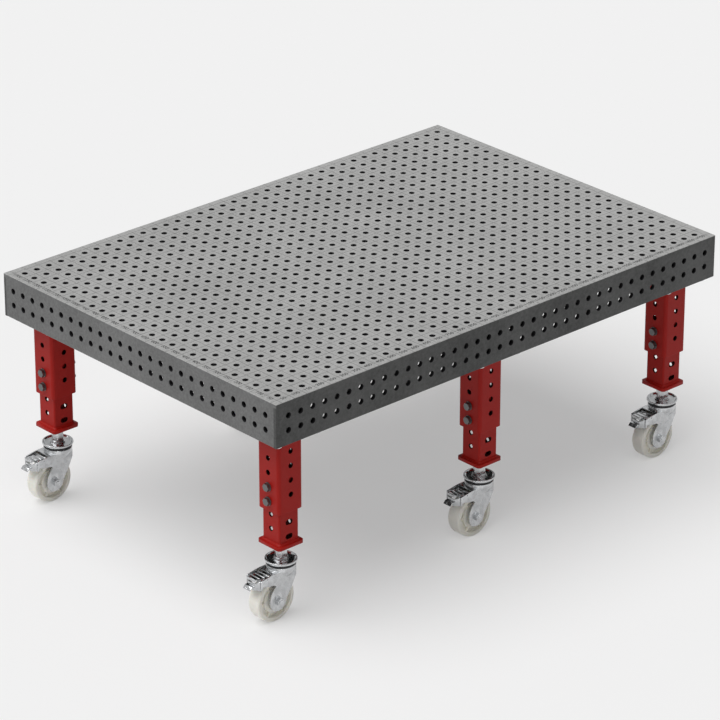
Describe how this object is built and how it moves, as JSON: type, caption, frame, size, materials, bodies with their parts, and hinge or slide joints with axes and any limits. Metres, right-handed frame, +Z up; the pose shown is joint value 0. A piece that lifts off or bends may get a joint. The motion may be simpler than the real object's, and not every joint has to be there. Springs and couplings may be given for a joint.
{
  "type": "assembly table",
  "caption": "Perforated steel assembly and welding table with ribbed underside, red height-set legs and braked swivel casters.",
  "frame": {"origin": "on the floor, under the middle of the whole part's box", "axes": "+X along the table's long side, the casters trail towards -X; +Y across the table, the front is -Y; +Z up"},
  "size_m": [1.9824, 1.35, 0.807],
  "materials": {
    "table_steel": "satin, machined",
    "red_paint": "semi-gloss powder coat",
    "zinc": "bright zinc plate",
    "dark_bolts": "black oxide",
    "seal_rubber": "matte",
    "ball_steel": "polished",
    "nylon": "satin"
  },
  "bodies": {
    "table": {"top_plate": "table_steel", "wall_front": "table_steel", "wall_back": "table_steel", "wall_left": "table_steel", "wall_right": "table_steel", "leg_seats": "table_steel", "cross_rib_1": "table_steel", "cross_rib_2": "table_steel", "cross_rib_3": "table_steel", "cross_rib_4": "table_steel", "cross_rib_5": "table_steel", "cross_rib_6": "table_steel", "long_rib_1": "table_steel", "long_rib_2": "table_steel", "long_rib_3": "table_steel", "long_rib_4": "table_steel", "leg_1_socket": "red_paint", "leg_1_slide": "red_paint", "leg_2_socket": "red_paint", "leg_2_slide": "red_paint", "leg_3_socket": "red_paint", "leg_3_slide": "red_paint", "leg_4_socket": "red_paint", "leg_4_slide": "red_paint", "leg_5_socket": "red_paint", "leg_5_slide": "red_paint", "leg_6_socket": "red_paint", "leg_6_slide": "red_paint", "flange_bolts": "zinc", "height_bolts": "dark_bolts", "height_nuts": "zinc", "caster_stems": "zinc", "caster_caps": "zinc", "caster_seals": "seal_rubber", "swivel_balls": "ball_steel"},
    "swivel_1": {"fork_1": "zinc", "axle_1": "zinc"},
    "wheel_1": {"wheel_1": "nylon"},
    "pedal_1": {"pedal_1": "zinc"},
    "swivel_2": {"fork_2": "zinc", "axle_2": "zinc"},
    "wheel_2": {"wheel_2": "nylon"},
    "pedal_2": {"pedal_2": "zinc"},
    "swivel_3": {"fork_3": "zinc", "axle_3": "zinc"},
    "wheel_3": {"wheel_3": "nylon"},
    "pedal_3": {"pedal_3": "zinc"},
    "swivel_4": {"fork_4": "zinc", "axle_4": "zinc"},
    "wheel_4": {"wheel_4": "nylon"},
    "pedal_4": {"pedal_4": "zinc"},
    "swivel_5": {"fork_5": "zinc", "axle_5": "zinc"},
    "wheel_5": {"wheel_5": "nylon"},
    "pedal_5": {"pedal_5": "zinc"},
    "swivel_6": {"fork_6": "zinc", "axle_6": "zinc"},
    "wheel_6": {"wheel_6": "nylon"},
    "pedal_6": {"pedal_6": "zinc"}
  },
  "joints": [
    {"name": "swivel_1", "type": "hinge", "parent": "table", "child": "swivel_1", "pos_m": [-0.84625, -0.5625, 0.19], "axis": [0, 0, 1], "continuous": true},
    {"name": "roll_1", "type": "hinge", "parent": "swivel_1", "child": "wheel_1", "pos_m": [-0.88825, -0.5625, 0.075], "axis": [0, 1, 0], "continuous": true},
    {"name": "brake_1", "type": "hinge", "parent": "swivel_1", "child": "pedal_1", "pos_m": [-0.94625, -0.5625, 0.157], "axis": [0, 1, 0], "range_deg": [0, 7]},
    {"name": "swivel_2", "type": "hinge", "parent": "table", "child": "swivel_2", "pos_m": [0.01625, -0.5625, 0.19], "axis": [0, 0, 1], "continuous": true},
    {"name": "roll_2", "type": "hinge", "parent": "swivel_2", "child": "wheel_2", "pos_m": [-0.02575, -0.5625, 0.075], "axis": [0, 1, 0], "continuous": true},
    {"name": "brake_2", "type": "hinge", "parent": "swivel_2", "child": "pedal_2", "pos_m": [-0.08375, -0.5625, 0.157], "axis": [0, 1, 0], "range_deg": [0, 7]},
    {"name": "swivel_3", "type": "hinge", "parent": "table", "child": "swivel_3", "pos_m": [0.87875, -0.5625, 0.19], "axis": [0, 0, 1], "continuous": true},
    {"name": "roll_3", "type": "hinge", "parent": "swivel_3", "child": "wheel_3", "pos_m": [0.83675, -0.5625, 0.075], "axis": [0, 1, 0], "continuous": true},
    {"name": "brake_3", "type": "hinge", "parent": "swivel_3", "child": "pedal_3", "pos_m": [0.77875, -0.5625, 0.157], "axis": [0, 1, 0], "range_deg": [0, 7]},
    {"name": "swivel_4", "type": "hinge", "parent": "table", "child": "swivel_4", "pos_m": [-0.84625, 0.5625, 0.19], "axis": [0, 0, 1], "continuous": true},
    {"name": "roll_4", "type": "hinge", "parent": "swivel_4", "child": "wheel_4", "pos_m": [-0.88825, 0.5625, 0.075], "axis": [0, 1, 0], "continuous": true},
    {"name": "brake_4", "type": "hinge", "parent": "swivel_4", "child": "pedal_4", "pos_m": [-0.94625, 0.5625, 0.157], "axis": [0, 1, 0], "range_deg": [0, 7]},
    {"name": "swivel_5", "type": "hinge", "parent": "table", "child": "swivel_5", "pos_m": [0.01625, 0.5625, 0.19], "axis": [0, 0, 1], "continuous": true},
    {"name": "roll_5", "type": "hinge", "parent": "swivel_5", "child": "wheel_5", "pos_m": [-0.02575, 0.5625, 0.075], "axis": [0, 1, 0], "continuous": true},
    {"name": "brake_5", "type": "hinge", "parent": "swivel_5", "child": "pedal_5", "pos_m": [-0.08375, 0.5625, 0.157], "axis": [0, 1, 0], "range_deg": [0, 7]},
    {"name": "swivel_6", "type": "hinge", "parent": "table", "child": "swivel_6", "pos_m": [0.87875, 0.5625, 0.19], "axis": [0, 0, 1], "continuous": true},
    {"name": "roll_6", "type": "hinge", "parent": "swivel_6", "child": "wheel_6", "pos_m": [0.83675, 0.5625, 0.075], "axis": [0, 1, 0], "continuous": true},
    {"name": "brake_6", "type": "hinge", "parent": "swivel_6", "child": "pedal_6", "pos_m": [0.77875, 0.5625, 0.157], "axis": [0, 1, 0], "range_deg": [0, 7]}
  ]
}
